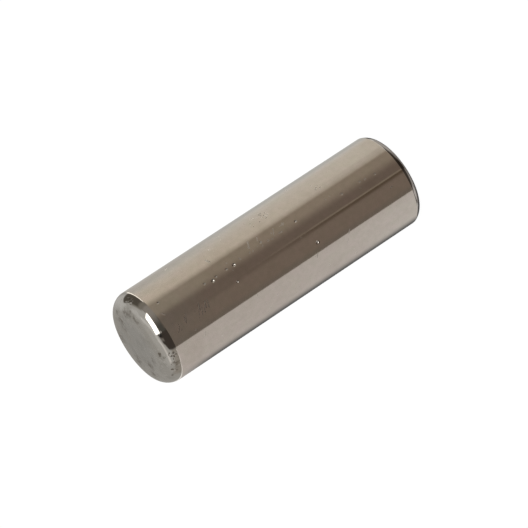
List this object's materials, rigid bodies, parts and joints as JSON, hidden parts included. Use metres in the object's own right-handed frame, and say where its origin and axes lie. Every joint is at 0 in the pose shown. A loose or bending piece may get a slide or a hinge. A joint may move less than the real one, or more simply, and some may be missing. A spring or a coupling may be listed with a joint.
{
  "type": "dowel pin",
  "caption": "Plain cylindrical dowel pin of polished steel, with a well rounded head and a slightly rounded lead-in end, pressed into reamed holes to locate mating parts.",
  "frame": {"origin": "centre of the lead-in end's flat face, which the pin stands on", "axes": "+Z along the pin's axis towards its rounded head; X and Y are free, because the pin is turned"},
  "size_m": [0.01, 0.01, 0.032],
  "materials": {
    "steel": "ground and polished hardened steel, warm grey, with fine handling marks and lightly pitted ends"
  },
  "bodies": {
    "root": {"pin": "steel"}
  },
  "joints": []
}
